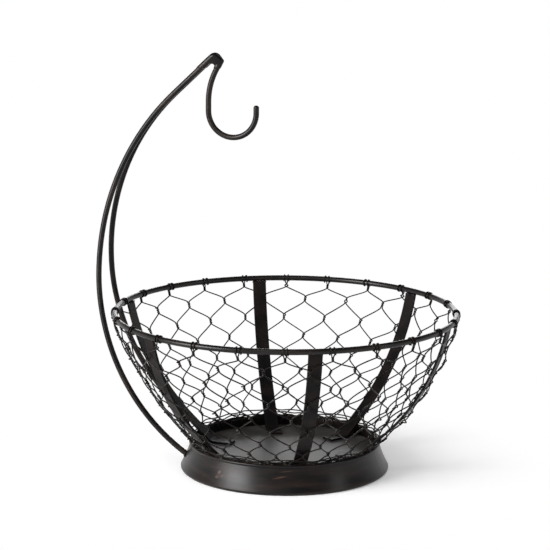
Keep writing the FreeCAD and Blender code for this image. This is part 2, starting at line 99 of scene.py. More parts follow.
def select_only(*things: Piece) -> None:
    """Selects these objects alone and makes the first one active.

    Args:
        *things: The objects.
    """
    bpy.ops.object.select_all(action="DESELECT")
    for thing in things:
        thing.select_set(True)
    bpy.context.view_layer.objects.active = things[0]


def settle(thing: Piece) -> None:
    """Puts the object's place into its mesh, so that it sits at the origin unturned."""
    select_only(thing)
    bpy.ops.object.transform_apply(location=True, rotation=True, scale=True)


def joined(name: str, *things: Piece) -> Piece:
    """Joins objects into one that sits at the origin.

    Args:
        name: The joined object's name.
        *things: The objects.

    Returns:
        The joined object.
    """
    select_only(*things)
    bpy.ops.object.join()
    whole = bpy.context.view_layer.objects.active
    whole.name = name
    whole.data.name = name
    settle(whole)
    return whole


def apply_modifier(thing: Piece, kind: str, **settings: object) -> None:
    """Adds a modifier and applies it at once.

    Args:
        thing: The object that is finished.
        kind: Blender's name for the modifier.
        **settings: Its settings by name.
    """
    select_only(thing)
    modifier = thing.modifiers.new(kind.lower(), kind)
    for name, value in settings.items():
        setattr(modifier, name, value)
    bpy.ops.object.modifier_apply(modifier=modifier.name)


def close_skin(thing: Piece, distance: float) -> None:
    """Merges doubled vertices, turns every face outwards and shades the skin smooth.

    Args:
        thing: The object whose mesh is tidied.
        distance: How near two vertices lie that become one.
    """
    select_only(thing)
    bpy.ops.object.mode_set(mode="EDIT")
    bpy.ops.mesh.select_all(action="SELECT")
    bpy.ops.mesh.remove_doubles(threshold=distance * MM)
    bpy.ops.mesh.normals_make_consistent(inside=False)
    bpy.ops.object.mode_set(mode="OBJECT")
    bpy.ops.object.shade_smooth()


def dress(piece: Piece, finish: Finish) -> None:
    """Gives a piece its one material."""
    piece.data.materials.clear()
    piece.data.materials.append(finish)


def hand_over(piece: Piece, finish: Finish, node: str | None = None) -> None:
    """Gives a new piece its finish and its place on the part.

    Args:
        piece: The new piece.
        finish: Its material.
        node: The solid whose place it takes, if it takes one.
    """
    dress(piece, finish)
    if node:
        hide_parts(node)
    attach(piece, "root")
    LOG.info("%s: %d faces", piece.name, len(piece.data.polygons))


# Finishes


class NodeDesk:
    """Places shader nodes and joins them, for one material or for the world."""

    def __init__(self, owner: Finish | bpy.types.World) -> None:
        """Starts with an empty node tree.

        Args:
            owner: What the nodes belong to.
        """
        owner.use_nodes = True
        self.tree = owner.node_tree
        self.tree.nodes.clear()

    def node(self, kind: str, fed: dict[object, object] | None = None, **values: object) -> bpy.types.Node:
        """Adds a node.

        Args:
            kind: The node's type.
            fed: What its inputs get, by name or number: a socket, a number, a vector, or a colour as a tuple.
            **values: Attributes of the node, by name.

        Returns:
            The new node.
        """
        made = self.tree.nodes.new(kind)
        for name, value in values.items():
            setattr(made, name, value)
        for key, value in (fed or {}).items():
            if isinstance(value, Socket):
                self.tree.links.new(value, made.inputs[key])
            else:
                made.inputs[key].default_value = (*value, 1.0) if isinstance(value, tuple) else value
        return made

    def math(self, operation: str, first: object, second: object = 0.0) -> Socket:
        """Works out a value from two others, each a socket or a number."""
        return self.node("ShaderNodeMath", {0: first, 1: second}, operation=operation).outputs[0]

    def dot(self, vector: Socket, way: Vector) -> Socket:
        """Measures a vector along a fixed direction."""
        made = self.node("ShaderNodeVectorMath", {0: vector, 1: way}, operation="DOT_PRODUCT")
        return made.outputs["Value"]

    def ramp(self, source: Socket, low: float, high: float) -> Socket:
        """Stretches the part of a value between low and high to nought to one, with soft ends."""
        fed = {"Value": source, "From Min": low, "From Max": high}
        return self.node("ShaderNodeMapRange", fed, interpolation_type="SMOOTHSTEP").outputs["Result"]

    def noise(self, vector: Socket, scale: float, detail: float) -> Socket:
        """Reads a noise pattern, about one half on average, at a place."""
        fed = {"Vector": vector, "Scale": scale, "Detail": detail}
        return self.node("ShaderNodeTexNoise", fed, noise_dimensions="3D").outputs["Fac"]

    def mix(self, share: Socket, first: object, second: object) -> Socket:
        """Blends two colours, by the share of the second one."""
        fed = {"Factor": share, 6: first, 7: second}
        return self.node("ShaderNodeMix", fed, data_type="RGBA").outputs[2]


@dataclass(frozen=True)
class RubMark:
    """A place on the base ring where its black finish is rubbed through to brown."""

    turn: float
    height: float
    half_width: float
    half_height: float
    slope: float
    strength: float
    core: float = 0.2

    def share(self, desk: NodeDesk, place: Socket) -> Socket:
        """How much of the mark shows at a place.

        Args:
            desk: The desk of the material that it is on.
            place: The place on the piece.

        Returns:
            One in the mark's core times its strength, falling to nought at its edge.
        """
        outward, along = ring_axes(self.turn)
        wide = desk.math("DIVIDE", desk.dot(place, along), self.half_width * MM)
        rise = desk.math("SUBTRACT", desk.dot(place, UP - along * self.slope), self.height * MM)
        tall = desk.math("DIVIDE", rise, self.half_height * MM)
        squares = [desk.math("MULTIPLY", way, way) for way in (wide, tall)]
        far = desk.math("SQRT", desk.math("ADD", *squares))
        shown = desk.math("MULTIPLY", desk.ramp(far, 1.0, self.core), self.strength)
        return desk.math("MULTIPLY", shown, desk.math("GREATER_THAN", desk.dot(place, outward), 0.0))


@dataclass(frozen=True)
class BlackSteel:
    """Blackened steel with a satin lacquer, as the whole part is finished."""

    name: str
    dark: Colour = (0.0030, 0.0026, 0.0026)
    brown: Colour = (0.0100, 0.0070, 0.0060)
    worn: Colour = (0.060, 0.042, 0.033)
    rubbed: Colour = (0.105, 0.058, 0.046)
    roughness: float = 0.27
    roughness_spread: float = 0.12
    shine: float = 0.28
    grain: Grain = Grain.DRAWN
    spun_stretch: float = 0.012
    rolled_stretch: float = 0.08
    patch_scale: float = 45.0
    speck_scale: float = 900.0
    brown_band: Span = (0.35, 0.7)
    scuffed_patches: Span = (0.45, 0.7)
    scuffed_specks: Span = (0.55, 0.75)
    rubbed_specks: Span = (0.2, 0.6)
    wear: float = 0.25
    bump: float = 0.12
    bump_depth: float = 0.1
    marks: tuple[RubMark, ...] = ()

    def grain_vector(self, desk: NodeDesk, place: Socket) -> Socket:
        """The coordinates that the fine grain is drawn in.

        Args:
            desk: The material's desk.
            place: The place on the piece.

        Returns:
            Round the axis on spun sheet, drawn out along X on rolled sheet, and the place itself on rod.
        """
        if self.grain is Grain.DRAWN:
            return place
        across, deep, high = desk.node("ShaderNodeSeparateXYZ", {0: place}).outputs
        if self.grain is Grain.SPUN:
            ways = (desk.math("MULTIPLY", desk.math("ARCTAN2", deep, across), self.spun_stretch), high)
        else:
            ways = (desk.math("MULTIPLY", across, self.rolled_stretch), deep, high)
        return desk.node("ShaderNodeCombineXYZ", dict(enumerate(ways))).outputs[0]

    def colour(self, desk: NodeDesk, place: Socket, patches: Socket, specks: Socket) -> Socket:
        """Black with brown patches, worn specks and, where it has any, rub marks.

        Args:
            desk: The material's desk.
            place: The place on the piece.
            patches: The coarse pattern.
            specks: The fine pattern.

        Returns:
            The colour.
        """
        colour = desk.mix(desk.ramp(patches, *self.brown_band), self.dark, self.brown)
        worn_specks = desk.ramp(specks, *self.scuffed_specks)
        scuffs = desk.math("MULTIPLY", worn_specks, desk.ramp(patches, *self.scuffed_patches))
        colour = desk.mix(desk.math("MULTIPLY", scuffs, self.wear), colour, self.worn)
        if not self.marks:
            return colour
        total = 0.0
        for mark in self.marks:
            total = desk.math("MAXIMUM", mark.share(desk, place), total)
        speckled = desk.math("MULTIPLY", total, desk.ramp(specks, *self.rubbed_specks))
        return desk.mix(speckled, colour, self.rubbed)

    def build(self) -> Finish:
        """Builds the material.

        Returns:
            The material, ready to be assigned.
        """
        material = bpy.data.materials.new(self.name)
        desk = NodeDesk(material)
        place = desk.node("ShaderNodeTexCoord").outputs["Object"]
        grain = self.grain_vector(desk, place)
        patches = desk.noise(grain if self.grain is Grain.SPUN else place, self.patch_scale, PATCH_DETAIL)
        specks = desk.noise(grain, self.speck_scale, SPECK_DETAIL)
        rough = self.roughness
        for pattern in (patches, specks):
            spread = desk.math("MULTIPLY", desk.math("SUBTRACT", pattern, 0.5), self.roughness_spread)
            rough = desk.math("ADD", spread, rough)
        bumps = {"Strength": self.bump, "Distance": self.bump_depth * MM, "Height": specks}
        skin = {
            "Base Color": self.colour(desk, place, patches, specks),
            "Roughness": rough,
            "Specular IOR Level": self.shine,
            "Normal": desk.node("ShaderNodeBump", bumps).outputs[0],
        }
        shader = desk.node("ShaderNodeBsdfPrincipled", skin)
        desk.node("ShaderNodeOutputMaterial", {"Surface": shader.outputs[0]})
        return material


@dataclass(frozen=True)
class FinishSet:
    """Every finish of the bowl."""

    rim: BlackSteel = BlackSteel("rim_rod_black", roughness=0.3)
    hanger: BlackSteel = BlackSteel(
        "hanger_rod_black",
        brown=(0.014, 0.0095, 0.0078),
        roughness=0.24,
        shine=0.20,
        wear=0.35,
    )
    rib: BlackSteel = BlackSteel(
        "rib_strip_black",
        grain=Grain.ROLLED,
        roughness=0.40,
        shine=0.10,
        patch_scale=60.0,
    )
    base: BlackSteel = BlackSteel(
        "base_ring_black",
        grain=Grain.SPUN,
        roughness=0.33,
        shine=0.24,
        brown=(0.0150, 0.0095, 0.0078),
        patch_scale=190.0,
        speck_scale=500.0,
        marks=(
            RubMark(turn=-110.0, height=13.4, half_width=2.6, half_height=2.6, slope=0.4, strength=0.9),
            RubMark(turn=-110.8, height=9.6, half_width=2.6, half_height=2.2, slope=0.0, strength=0.7),
            RubMark(turn=-107.5, height=11.2, half_width=3.2, half_height=1.2, slope=0.3, strength=0.45),
            RubMark(turn=-72.4, height=15.0, half_width=8.0, half_height=0.9, slope=0.2, strength=0.7),
            RubMark(turn=-68.5, height=20.0, half_width=9.0, half_height=0.7, slope=0.1, strength=0.35),
        ),
    )
    plate: BlackSteel = BlackSteel(
        "floor_sheet_grey",
        dark=(0.030, 0.028, 0.027),
        brown=(0.060, 0.055, 0.051),
        worn=(0.16, 0.15, 0.14),
        grain=Grain.ROLLED,
        roughness=0.45,
        wear=0.6,
    )
    wire: BlackSteel = BlackSteel(
        "netting_wire_black",
        brown=(0.012, 0.0075, 0.0058),
        shine=0.14,
        patch_scale=140.0,
    )
    weld: BlackSteel = BlackSteel("weld_black", roughness=0.42, speck_scale=1500.0, bump=0.3)


# Steel frame


@dataclass
class SteelFrame:
    """The pieces whose shape comes as it is: rim rod, ribs, plate and base ring."""

    finishes: FinishSet
    rib_count: int = 6

    def dress_all(self) -> None:
        """Gives each of these pieces its finish."""
        ribs = [f"rib_{number}" for number in range(1, self.rib_count + 1)]
        for finish, nodes in (
            (self.finishes.base, ["base_ring"]),
            (self.finishes.plate, ["floor_plate"]),
            (self.finishes.rim, ["rim_ring"]),
            (self.finishes.rib, ribs),
        ):
            material = finish.build()
            for node in nodes:
                dress(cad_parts[node], material)
                LOG.info("%s dressed as %s", node, finish.name)


# Hanger


@dataclass
class HangerNose:
    """The rounded nose where both legs and the hook are fused together, and the rods that end in it."""

    weld: str = "tip_weld"
    rods: tuple[tuple[str, str], ...] = (
        ("hanger_leg_front", "bent_leg_front"),
        ("hanger_leg_back", "bent_leg_back"),
        ("hook_rod", "bent_hook"),
    )
    slot: str = "hanger_rod"
    room: float = 80.0
    reach: float = 8.0
    overlap: float = 2.5
    solid_reach: float = 3.2
    skin_grain: float = 0.3
    blunting: float = 1.4
    crest_reach: float = 67.2
    crown: float = 6.5
    softening: int = 44
    build_up: float = 0.55
    last_softening: int = 14

    def middle(self) -> Vector:
        """The middle of the plain weld, in metres."""
        corners = [vertex.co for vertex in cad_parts[self.weld].data.vertices]
        return sum(corners, Vector()) / len(corners)

    def trimmed_copy(self, node: str, operation: str, reach: float) -> Piece:
        """Copies a solid and keeps or takes away what lies up at the nose.

        Args:
            node: The solid's node.
            operation: INTERSECT keeps the part at the nose, DIFFERENCE takes it away.
            reach: How far the nose's room goes below the weld's middle.

        Returns:
            The trimmed copy.
        """
        part = bpy.data.objects.new(f"{node}_copy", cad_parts[node].data.copy())
        bpy.context.scene.collection.objects.link(part)
        bpy.ops.object.select_all(action="DESELECT")
        rise = UP * (self.room / 2 - reach) * MM
        bpy.ops.mesh.primitive_cube_add(size=self.room * MM, location=self.middle() + rise)
        room = bpy.context.view_layer.objects.active
        apply_modifier(part, "BOOLEAN", operation=operation, solver="EXACT", object=room)
        bpy.data.objects.remove(room)
        return part

    def filling(self, nodes: list[str]) -> Piece:
        """The solid metal between the rods' ends, as if wrapped tightly round them.

        Args:
            nodes: The weld's and the rods' nodes.

        Returns:
            The filling.
        """
        ends = [self.trimmed_copy(node, "INTERSECT", self.solid_reach) for node in nodes]
        metal = joined("filling", *ends)
        bpy.ops.object.mode_set(mode="EDIT")
        bpy.ops.mesh.select_all(action="SELECT")
        bpy.ops.mesh.convex_hull()
        bpy.ops.object.mode_set(mode="OBJECT")
        return metal

    def dress_down(self, nose: Piece) -> None:
        """Takes the nose's top down to a shallow crown, as a file would.

        Args:
            nose: The nose, as fused.
        """
        crest = Vector((-self.crest_reach, 0, 0)) * MM
        top = CAD_BOX[1][2] - self.blunting * MM
        crown = self.crown * MM
        for vertex in nose.data.vertices:
            beside = min((vertex.co - crest).to_2d().length, crown)
            vertex.co.z = min(vertex.co.z, top - beside**2 / (2 * crown))

    def build(self) -> Piece:
        """Fuses the ends of the rods and the weld between them into one rounded skin.

        Returns:
            The finished nose.
        """
        nodes = [self.weld, *(node for node, _ in self.rods)]
        ends = [self.trimmed_copy(node, "INTERSECT", self.reach) for node in nodes]
        nose = joined("hanger_nose", self.filling(nodes), *ends)
        apply_modifier(nose, "REMESH", mode="VOXEL", voxel_size=self.skin_grain * MM)
        self.dress_down(nose)
        apply_modifier(nose, "SMOOTH", factor=0.5, iterations=self.softening)
        apply_modifier(nose, "DISPLACE", strength=self.build_up * MM, mid_level=0.0)
        apply_modifier(nose, "SMOOTH", factor=0.5, iterations=self.last_softening)
        close_skin(nose, 0.001)
        return nose

    def make_all(self, finish: Finish) -> None:
        """Puts the nose in the plain weld's place, and the trimmed rods in their solids' place.

        Args:
            finish: The hanger's material.
        """
        hand_over(self.build(), finish, self.weld)
        for node, name in self.rods:
            rod = self.trimmed_copy(node, "DIFFERENCE", self.reach - self.overlap)
            rod.name = name
            rod.data.name = name
            hand_over(rod, finish, node)


# Netting


@dataclass(frozen=True)
class Scatter:
    """How far the twists of hand-formed netting lie off their even shape."""

    turn: float = 0.35
    place: float = 0.6
    length: float = 0.5
    tilt_mean: float = 6.0
    tilt: float = 5.0
    lift_mean: float = 0.2
    lift: float = 0.35
    under_rim: float = 0.4
    rows_to_full: int = 4
    parted_rows: int = 2
    parted_share: float = 0.2
    parted: Span = (0.6, 1.3)
    open_share: float = 0.12
    open_loop: Span = (1.4, 2.4)
    shut_loop: Span = (0.2, 1.2)
    rim_loop: float = 0.1
    low_loop: Span = (0.0, 0.4)

    def at_row(self, row: int) -> float:
        """How much of it a row has: the row under the rim is held fast, and those below lie freer."""
        return self.under_rim + (1 - self.under_rim) * min(row, self.rows_to_full) / self.rows_to_full

    def loose_loop(self, dice: random.Random) -> float:
        """How far the loop at a twist's shoulder stands open: few of them stand far."""
        reach = self.open_loop if dice.random() < self.open_share else self.shut_loop
        return dice.uniform(*reach)

    def parting(self, row: int, dice: random.Random) -> float:
        """How far the two wires of a twist stand apart at its middle: only a few, near the rim."""
        apart = row < self.parted_rows and dice.random() < self.parted_share
        return dice.uniform(*self.parted) if apart else 0.0


@dataclass
class Twist:
    """Two wires wound round each other at one place of the netting, with their tilt in radians."""

    turn: float
    place: float
    length: float
    tilt: float
    lift: float
    loose_top: float
    loose_low: float
    parted: float


@dataclass
class WireNetting:
    """Hexagonal netting of twisted wires, wound round the rim and tucked into the base ring."""

    columns: int = 24
    first_turn: float = 5.3
    rows: int = 8
    rim_radius: float = 150.0
    rim_height: float = 140.6
    rod_radius: float = 2.5
    bite: float = 0.1
    wire_radius: float = 0.6
    wire_roundness: int = 1
    bow_radius: float = 200.0
    top_lean: float = 13.0
    drop: float = 2.6
    rib_pitch: float = 60.0
    grip: float = 5.3
    pull: float = 7.0
    top_row_place: float = 4.3
    next_row_place: float = 16.6
    row_pitch: float = 17.3
    top_twist_length: float = 4.0
    twist_length: float = 5.8
    twist_fullness: float = 1.12
    half_turns: int = 3
    steps_per_half_turn: int = 4
    top_loop: Span = (0.55, 0.45)
    low_loop: Span = (0.5, 0.4)
    loop_rise: float = 0.5
    strand_steps: int = 6
    strand_leave: float = 0.35
    strand_arrive: float = 0.3
    strand_reach: float = 0.8
    strand_crowding: float = 0.35
    wrap_spread: float = 1.45
    wrap_spread_scatter: float = 0.25
    wrap_pitch: float = 1.15
    wrap_pitch_scatter: Span = (0.9, 1.25)
    wrap_turned: float = 318.0
    wrap_turned_scatter: float = 14.0
    wrap_steps: int = 16
    wrap_end_lift: float = 0.25
    wrap_end_place: float = -0.6
    wrap_end_spread: float = 0.98
    drop_steps: int = 2
    bead_radius: float = 1.5
    bead_centre: Span = (83.45, 23.9)
    tail_lead: Span = (2.5, 2.9)
    tail_start: float = 62.0
    tail_step: float = 23.0
    tail_steps: int = 5
    tail_slant: Span = (-1.2, 2.2)
    tail_depth: Span = (1.4, 4.6)
    tail_inward: Span = (-0.6, 0.0)
    tail_tip_inward: Span = (-0.8, 0.1)
    tail_end_slants: Span = (1.3, 1.8)
    skirt: tuple[Span, ...] = ((0.75, 5.0), (1.1, 3.6), (1.5, 2.8), (1.9, 2.2), (2.3, 1.6))
    skirt_scatter: Place = (0.08, 0.9, 1.3)
    hem_places: tuple[float, ...] = (2.2, 5.0, 8.4)
    hem_waves: tuple[int, ...] = (5, 11, 24, 37)
    hem_wave_heights: Span = (0.2, 0.6)
    hem_steps: int = 180
    hem_weave: float = 0.7
    hem_weave_count: int = 12
    drift_most: float = 4.0
    drift_turn: float = 220.0
    loose_turn: float = 207.0
    loose_parting: float = 1.9
    scatter: Scatter = Scatter()
    seed: int = 41
    twists: list[list[Twist]] = field(default_factory=list)

    @property
    def last_row_place(self) -> float:
        """Way down the bow from the rim to the lowest row of twists."""
        return self.next_row_place + (self.rows - 2) * self.row_pitch

    @property
    def length(self) -> float:
        """Way down the bow from the rim to the base ring."""
        return self.next_row_place + (self.rows - 1) * self.row_pitch

    @property
    def half_pitch(self) -> float:
        """Half the angle between two columns."""
        return 180 / self.columns

    def upright(self, turn: float, across: float, up: float, aside: float = 0.0) -> Vector:
        """A point by its radius, its height and its way to the right, at an angle round the bowl."""
        outward, along = ring_axes(turn)
        return outward * across + along * aside + UP * up

    def hollow(self, turn: float) -> float:
        """How far between two ribs an angle lies.

        Args:
            turn: The angle.

        Returns:
            0 on a rib, and 1 midway between two of them.
        """
        beside_middle = math.radians(turn % self.rib_pitch - self.rib_pitch / 2)
        edge = math.cos(math.radians(self.rib_pitch / 2 - self.grip))
        return max(1 - edge / math.cos(beside_middle), 0) / (1 - edge)

    def skin(self, turn: float, place: float, aside: float = 0.0, out: float = 0.0) -> Vector:
        """A point of the netting's bow, which is pulled in between the ribs.

        Args:
            turn: Angle round the bowl.
            place: Way down along the bow from its start.
            aside: Way to the right as seen from outside.
            out: Height above the bow.

        Returns:
            The point.
        """
        top = math.radians(self.top_lean)
        lean = top + place / self.bow_radius
        across = self.rim_radius + self.rod_radius + self.wire_radius - self.bite
        across -= self.bow_radius * (math.cos(top) - math.cos(lean)) - out * math.cos(lean)
        across -= self.pull * self.hollow(turn) * math.sin(math.pi * min(max(place / self.length, 0), 1))
        up = self.rim_height - self.drop
        up -= self.bow_radius * (math.sin(lean) - math.sin(top)) + out * math.sin(lean)
        return self.upright(turn, across, up, aside)

    def drift(self, turn: float, place: float) -> float:
        """How far a column that starts from an angle has crept round the bowl at a place down the bow."""
        share = 0.5 + 0.5 * math.cos(math.radians(turn - self.drift_turn))
        return self.drift_most * share * place / self.last_row_place

    def row_twist(self, row: int, column: int, dice: random.Random) -> Twist:
        """One twist, a little off its even place.

        Args:
            row: Its row, 0 under the rim.
            column: Its column.
            dice: Source of the differences.

        Returns:
            The twist.
        """
        middle = self.next_row_place + (row - 1) * self.row_pitch if row else self.top_row_place
        length = self.twist_length if row else self.top_twist_length
        scatter = self.scatter
        freedom = scatter.at_row(row)
        turn = self.first_turn + 2 * self.half_pitch * (column + 0.5 * (row % 2))
        turn += self.drift(turn, middle) + dice.gauss(0, scatter.turn) * freedom
        loose = row == 0 and abs(turn - self.loose_turn) < self.half_pitch
        return Twist(
            turn=turn,
            place=middle + dice.gauss(0, scatter.place) * freedom,
            length=length + dice.uniform(-scatter.length, scatter.length) * freedom,
            tilt=math.radians(dice.gauss(scatter.tilt_mean, scatter.tilt)) * freedom,
            lift=dice.gauss(scatter.lift_mean, scatter.lift) * freedom,
            loose_top=scatter.loose_loop(dice) if row else scatter.rim_loop,
            loose_low=dice.uniform(*scatter.low_loop) if row else 0.0,
            parted=self.loose_parting if loose else scatter.parting(row, dice),
        )

    def lay_out(self) -> None:
        """Places every twist, row by row from the rim down."""
        dice = random.Random(self.seed)
        self.twists = [
            [self.row_twist(row, column, dice) for column in range(self.columns)] for row in range(self.rows)
        ]

    def bulge(self, swept: float, middle: float, width: float) -> float:
        """How far a loose loop stands out, as a share, by its middle and its half width in half turns."""
        return math.exp(-(((swept - middle * math.pi) / (width * math.pi)) ** 2))

    def twist_points(self, twist: Twist, hand: Hand) -> list[Vector]:
        """The way of one wire through a twist, from its top to its bottom.

        Args:
            twist: The twist.
            hand: Which of its two wires.

        Returns:
            Points of the wire's middle line.
        """
        steps = self.half_turns * self.steps_per_half_turn
        total = self.half_turns * math.pi
        points = []
        for step in range(steps + 1):
            swept = total * step / steps
            phase = swept + (math.pi if hand is Hand.RIGHTWARD else 0.0)
            down = twist.length * (step / steps - 0.5)
            radius = self.wire_radius * self.twist_fullness
            if hand is Hand.LEFTWARD:
                radius += twist.loose_top * self.bulge(swept, *self.top_loop)
                down -= self.loop_rise * twist.loose_top * math.sin(min(swept, math.pi))
            else:
                radius += twist.loose_low * self.bulge(total - swept, *self.low_loop)
            aside = radius * math.cos(phase)
            aside -= hand.value * twist.parted * math.sin(math.pi * step / steps)
            turned = aside * math.cos(twist.tilt) + down * math.sin(twist.tilt)
            along = down * math.cos(twist.tilt) - aside * math.sin(twist.tilt)
            out = twist.lift + radius * math.sin(phase)
            points.append(self.skin(twist.turn, twist.place + along, turned, out))
        return points

    def strand_points(self, start: list[Vector], end: list[Vector], steps: int) -> list[Vector]:
        """Points of the free strand between two stretches of a wire, without its ends.

        Args:
            start: The stretch before, whose last points give the way out.
            end: The stretch after, whose first points give the way in.
            steps: How many points to give.

        Returns:
            Points of the strand.
        """
        first, last = start[-1], end[0]
        span = last - first
        straight = span.normalized()
        leave = (start[-1] - start[-2]).normalized() * self.strand_leave + straight * (1 - self.strand_leave)
        arrive = (end[1] - end[0]).normalized() * self.strand_arrive + straight * (1 - self.strand_arrive)
        reach = span.length * self.strand_reach
        points = []
        for index in range(1, steps + 1):
            even = index / (steps + 1)
            crowded = even * even * (3 - 2 * even)
            share = crowded * self.strand_crowding + even * (1 - self.strand_crowding)
            points.append(
                first * (2 * share**3 - 3 * share**2 + 1)
                + leave * reach * (share**3 - 2 * share**2 + share)
                + last * (3 * share**2 - 2 * share**3)
                + arrive * reach * (share**3 - share**2)
            )
        return points

    def wrap_points(self, turn: float, hand: Hand, dice: random.Random) -> list[Vector]:
        """One wire's turn round the rim rod and the short drop to the netting.

        Args:
            turn: Angle of the column.
            hand: Which wire of the pair.
            dice: Source of its small differences.

        Returns:
            Points of the wire's middle line.
        """
        ring = self.rod_radius + self.wire_radius - self.bite
        side = -hand.value
        pitch = self.wrap_pitch * dice.uniform(*self.wrap_pitch_scatter)
        spread = self.wrap_spread + dice.uniform(-self.wrap_spread_scatter, self.wrap_spread_scatter)
        turned = self.wrap_turned + dice.uniform(-self.wrap_turned_scatter, self.wrap_turned_scatter)
        points = []
        for step in range(self.wrap_steps + 1):
            angle = turned * (1 - step / self.wrap_steps)
            radius = ring if step else ring + self.wrap_end_lift
            across = self.rim_radius + radius * math.cos(math.radians(angle))
            up = self.rim_height + radius * math.sin(math.radians(angle))
            points.append(self.upright(turn, across, up, side * (spread + pitch * angle / 360)))
        points.append(self.skin(turn, self.wrap_end_place, side * spread * self.wrap_end_spread))
        return points

    def skirt_points(self, turn: float, hand: Hand, dice: random.Random) -> list[Vector]:
        """The stretch where a wire lies nearly level, pressed together with others above the bead.

        Args:
            turn: Angle of the wire's last twist.
            hand: Which wire of the pair.
            dice: Source of its small differences.

        Returns:
            Points of the wire's middle line.
        """
        turn_most, place_most, out_most = self.skirt_scatter
        points = []
        for share, above in self.skirt:
            across = turn + hand.value * self.half_pitch * (share + dice.uniform(-turn_most, turn_most))
            place = self.length - above + dice.uniform(-place_most, place_most)
            points.append(self.skin(across, place, 0.0, dice.uniform(0.0, out_most)))
        return points

    def tail_points(self, turn: float, hand: Hand, dice: random.Random) -> list[Vector]:
        """The wire's end, over the base ring's bead and down inside it.

        Args:
            turn: Angle where it crosses the bead.
            hand: Which wire of the pair.
            dice: Source of its small differences.

        Returns:
            Points of the wire's middle line.
        """
        ring = self.bead_radius + self.wire_radius - self.bite
        across, up = self.bead_centre
        slant = -hand.value * dice.uniform(*self.tail_slant)
        points = []
        for step in range(self.tail_steps):
            angle = math.radians(self.tail_start + step * self.tail_step)
            place = (across + ring * math.cos(angle), up + ring * math.sin(angle))
            points.append(self.upright(turn, *place, -slant * step / (self.tail_steps - 1)))
        depth = dice.uniform(*self.tail_depth)
        inner = across - ring + dice.uniform(*self.tail_inward)
        middle_slant, tip_slant = self.tail_end_slants
        points.append(self.upright(turn, inner, up - depth / 2, -slant * middle_slant))
        tip = inner + dice.uniform(*self.tail_tip_inward)
        points.append(self.upright(turn, tip, up - depth, -slant * tip_slant))
        return points

    def hem_points(self, above: float, dice: random.Random) -> list[Vector]:
        """One wire that runs all the way round, woven through the netting's lower edge.

        Args:
            above: Its mean way up the bow from the bead.
            dice: Source of its waves.

        Returns:
            Points of its middle line.
        """
        waves = [
            (count, dice.uniform(0, 2 * math.pi), dice.uniform(*self.hem_wave_heights))
            for count in self.hem_waves
        ]
        points = []
        for step in range(self.hem_steps):
            swept = 2 * math.pi * step / self.hem_steps
            sway = sum(height * math.sin(count * swept + start) for count, start, height in waves)
            out = self.hem_weave * math.sin(self.hem_weave_count * swept)
            points.append(self.skin(math.degrees(swept), self.length - above + sway, 0.0, out))
        return points

    def wire_route(self, column: int, hand: Hand, dice: random.Random) -> list[Vector]:
        """The whole way of one wire, from the rim to the base ring.

        Args:
            column: The top row's twist that it starts from.
            hand: The way in which it runs round the bowl.
            dice: Source of its small differences.

        Returns:
            Points of its middle line.
        """
        stretches = [self.wrap_points(self.twists[0][column].turn, hand, dice)]
        index = column
        for row, line in enumerate(self.twists):
            last = line[index % self.columns]
            stretches.append(self.twist_points(last, hand))
            if hand is Hand.RIGHTWARD:
                index += row % 2
            else:
                index -= 1 - row % 2
        stretches.append(self.skirt_points(last.turn, hand, dice))
        tail_turn = last.turn + hand.value * self.half_pitch * dice.uniform(*self.tail_lead)
        stretches.append(self.tail_points(tail_turn, hand, dice))
        route = list(stretches[0])
        for before, after in zip(stretches, stretches[1:]):
            steps = self.drop_steps if before is stretches[0] else self.strand_steps
            route += self.strand_points(before, after, steps)
            route += after
        return route

    def build(self, hand: Hand) -> Piece:
        """Builds all wires that run one way round the bowl as one piece, the hem's with the leftward ones.

        Args:
            hand: The way in which they run.

        Returns:
            The finished piece.
        """
        dice = random.Random(self.seed + hand.value)
        shape = bpy.data.curves.new(f"netting_wires_{hand.name.lower()}", "CURVE")
        shape.dimensions = "3D"
        shape.bevel_depth = self.wire_radius * MM
        shape.bevel_resolution = self.wire_roundness
        shape.use_fill_caps = True
        lines = [(self.wire_route(column, hand, dice), False) for column in range(self.columns)]
        if hand is Hand.LEFTWARD:
            lines += [(self.hem_points(above, dice), True) for above in self.hem_places]
        for route, closed in lines:
            spline = shape.splines.new("POLY")
            spline.points.add(len(route) - 1)
            spline.use_cyclic_u = closed
            for point, place in zip(spline.points, route):
                point.co = (*(place * MM), 1.0)
        wires = bpy.data.objects.new(shape.name, shape)
        bpy.context.scene.collection.objects.link(wires)
        select_only(wires)
        bpy.ops.object.convert(target="MESH")
        wires = bpy.context.view_layer.objects.active
        close_skin(wires, 0.002)
        return wires

    def make_all(self, finish: Finish) -> None:
        """Builds the netting of both hands in the place of the plain wires.

        Args:
            finish: The wires' material.
        """
        self.lay_out()
        for hand in Hand:
            hand_over(self.build(hand), finish, "wire_netting")


# Welds


